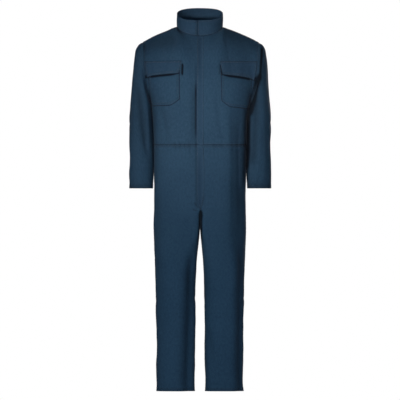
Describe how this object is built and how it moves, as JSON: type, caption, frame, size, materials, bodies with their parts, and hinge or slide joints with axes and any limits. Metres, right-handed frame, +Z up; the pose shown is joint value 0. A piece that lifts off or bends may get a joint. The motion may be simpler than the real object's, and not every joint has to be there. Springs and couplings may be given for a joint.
{
  "type": "boiler suit",
  "caption": "One-piece long-sleeved work suit with a standing collar, a covered front opening and flapped chest pockets, in its hollow worn form.",
  "frame": {"origin": "the middle of the neck opening, level with the two side neck points, where the shoulder seams meet the collar", "axes": "+X towards the wearer's left, -Y towards the front, +Z up"},
  "size_m": [0.6244, 0.2866, 1.687],
  "materials": {
    "navy_twill": "matt navy blue twill",
    "navy_twill_doubled": "matt navy blue twill, doubled"
  },
  "bodies": {
    "root": {"front_left": "navy_twill", "front_right": "navy_twill", "back": "navy_twill", "sleeve_left": "navy_twill", "sleeve_right": "navy_twill", "collar": "navy_twill_doubled", "fly_top": "navy_twill_doubled", "fly_foot": "navy_twill_doubled", "chest_pocket_left": "navy_twill", "chest_pocket_right": "navy_twill", "pocket_flap_left": "navy_twill_doubled", "pocket_flap_right": "navy_twill_doubled", "trouser_front_left": "navy_twill", "trouser_front_right": "navy_twill", "trouser_back_left": "navy_twill", "trouser_back_right": "navy_twill"}
  },
  "joints": []
}
